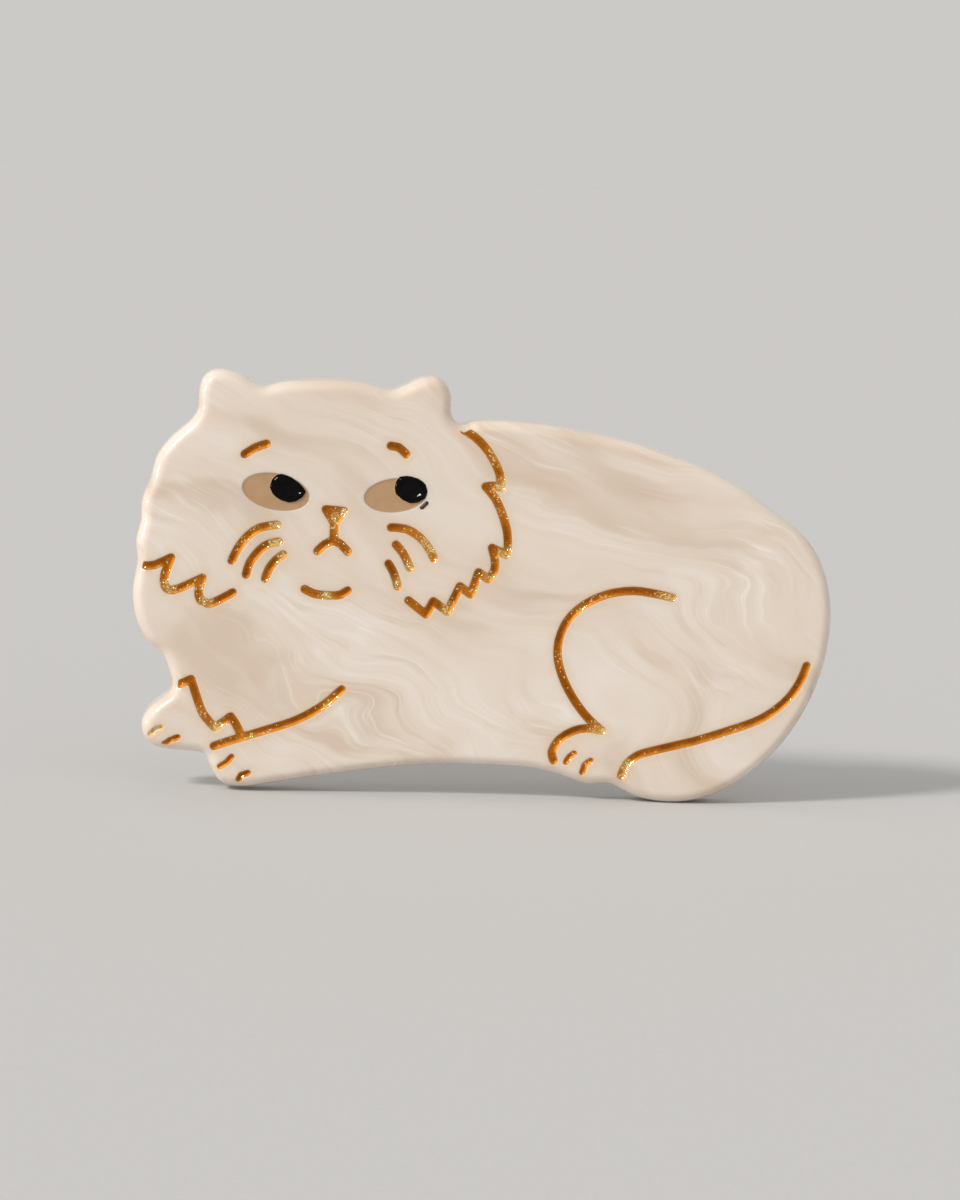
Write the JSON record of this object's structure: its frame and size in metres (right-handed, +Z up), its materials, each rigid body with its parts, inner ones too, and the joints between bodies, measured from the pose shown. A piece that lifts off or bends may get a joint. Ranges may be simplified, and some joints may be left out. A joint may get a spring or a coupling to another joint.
{
  "type": "acetate brooch pin",
  "caption": "Flat lying-cat brooch of pearly acetate with engraved gold-filled lines, on a bar pin with a hinged stem and a turning safety catch.",
  "frame": {"origin": "middle of the pin stem's straight shank, on the wire's axis, with the stem closed", "axes": "+X along the wire towards its point, +Z up as worn, towards the ears, and -Y the way the decorated face looks"},
  "size_m": [0.0623, 0.0105, 0.0374],
  "materials": {
    "acetate": "tumble-polished pearly cellulose acetate with a marbled swirl",
    "gold_lacquer": "gold-brown lacquer with bright metal flakes",
    "eye_enamel": "flat taupe enamel paint",
    "black_enamel": "domed gloss black enamel",
    "plated_steel": "nickel-plated pressed strip",
    "rivet_steel": "bright headed wire",
    "spring_wire": "drawn stainless spring wire with a ground point",
    "catch_plating": "bright nickel plating"
  },
  "bodies": {
    "brooch": {"plate": "acetate", "brow_left": "gold_lacquer", "brow_right": "gold_lacquer", "nose_mouth": "gold_lacquer", "chin_line": "gold_lacquer", "whiskers_left": "gold_lacquer", "whiskers_right": "gold_lacquer", "ruff_left": "gold_lacquer", "ruff_right": "gold_lacquer", "foreleg_line": "gold_lacquer", "far_paw_toes": "gold_lacquer", "near_paw_toes": "gold_lacquer", "thigh_line": "gold_lacquer", "hind_toes": "gold_lacquer", "rump_line": "gold_lacquer", "eye_white_left": "eye_enamel", "eye_white_right": "eye_enamel", "pupil_left": "black_enamel", "pupil_right": "black_enamel", "back_bar": "plated_steel", "bar_rivets": "rivet_steel", "hinge_rivet": "rivet_steel", "catch_body": "plated_steel"},
    "stem": {"pin_stem": "spring_wire"},
    "catch": {"catch_barrel": "catch_plating"}
  },
  "joints": [
    {"name": "stem_hinge", "type": "hinge", "parent": "brooch", "child": "stem", "pos_m": [-0.0155, 0, 0], "axis": [0, 0, 1], "range_deg": [0, 80]},
    {"name": "catch_turn", "type": "hinge", "parent": "brooch", "child": "catch", "pos_m": [0.016, 0, 0], "axis": [1, 0, 0], "range_deg": [-110, 0]}
  ]
}
